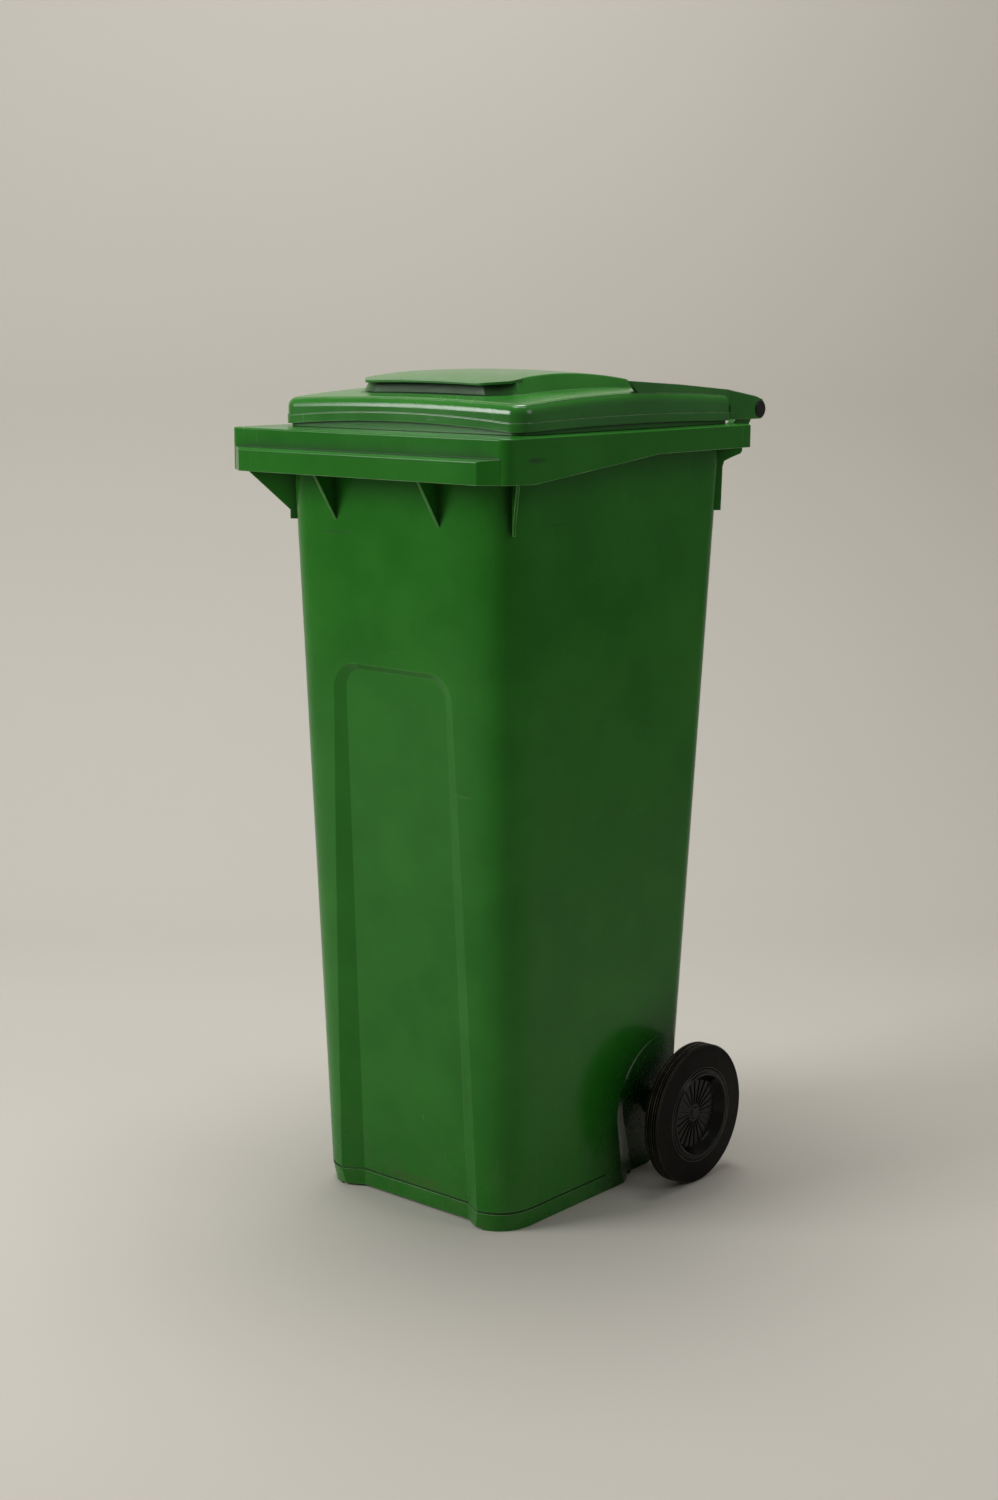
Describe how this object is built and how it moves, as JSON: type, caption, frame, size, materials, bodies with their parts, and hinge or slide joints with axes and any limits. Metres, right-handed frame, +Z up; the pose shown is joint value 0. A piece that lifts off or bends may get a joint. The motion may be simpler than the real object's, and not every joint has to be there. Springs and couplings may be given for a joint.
{
  "type": "wheeled refuse bin",
  "caption": "Tall tapered plastic refuse bin with a comb rim at the front, a hinged lid with a raised centre, a rear bar handle and wheels on a steel axle.",
  "frame": {"origin": "on the ground, under the centre of the overall box", "axes": "+Z up, -Y the front with the comb, +Y the wheels, hinge and handle, +X along the axle to the bin's left as seen from the front"},
  "size_m": [0.492, 0.5836, 1.1185],
  "materials": {
    "body_plastic": "semi-gloss moulded polyethylene, mid green",
    "lid_plastic": "semi-gloss moulded polyethylene, mid green",
    "black_plastic": "satin black plastic",
    "hub_plastic": "glossy black plastic",
    "tyre_rubber": "matt black rubber",
    "axle_steel": "zinc-plated steel",
    "spring_steel": "drawn spring wire"
  },
  "bodies": {
    "bin": {"bin_body": "body_plastic", "hinge_pin_left": "black_plastic", "hinge_pin_right": "black_plastic", "axle": "axle_steel", "axle_spacer_left": "black_plastic", "axle_spacer_right": "black_plastic"},
    "lid_assembly": {"lid": "lid_plastic"},
    "wheel_left": {"wheel_hub_left": "hub_plastic", "tyre_left": "tyre_rubber", "wheel_lock_spring_left": "spring_steel"},
    "wheel_right": {"wheel_hub_right": "hub_plastic", "tyre_right": "tyre_rubber", "wheel_lock_spring_right": "spring_steel"},
    "lock_left": {"wheel_lock_plunger_left": "black_plastic"},
    "lock_right": {"wheel_lock_plunger_right": "black_plastic"}
  },
  "joints": [
    {"name": "lid_hinge", "type": "hinge", "parent": "bin", "child": "lid_assembly", "pos_m": [0, 0.27875, 1.0625], "axis": [-1, 0, 0], "range_deg": [0, 262]},
    {"name": "wheel_left_spin", "type": "hinge", "parent": "bin", "child": "wheel_left", "pos_m": [-0.2325, 0.134, 0.098], "axis": [1, 0, 0], "continuous": true},
    {"name": "wheel_right_spin", "type": "hinge", "parent": "bin", "child": "wheel_right", "pos_m": [0.2325, 0.134, 0.098], "axis": [1, 0, 0], "continuous": true},
    {"name": "lock_left_slide", "type": "slide", "parent": "wheel_left", "child": "lock_left", "axis": [0, 0, 1], "range_m": [0, 0.0022], "stiffness_N_per_m": 500, "springref_m": -0.003, "deforming": ["wheel_lock_spring_left"]},
    {"name": "lock_right_slide", "type": "slide", "parent": "wheel_right", "child": "lock_right", "axis": [0, 0, 1], "range_m": [0, 0.0022], "stiffness_N_per_m": 500, "springref_m": -0.003, "deforming": ["wheel_lock_spring_right"]}
  ]
}
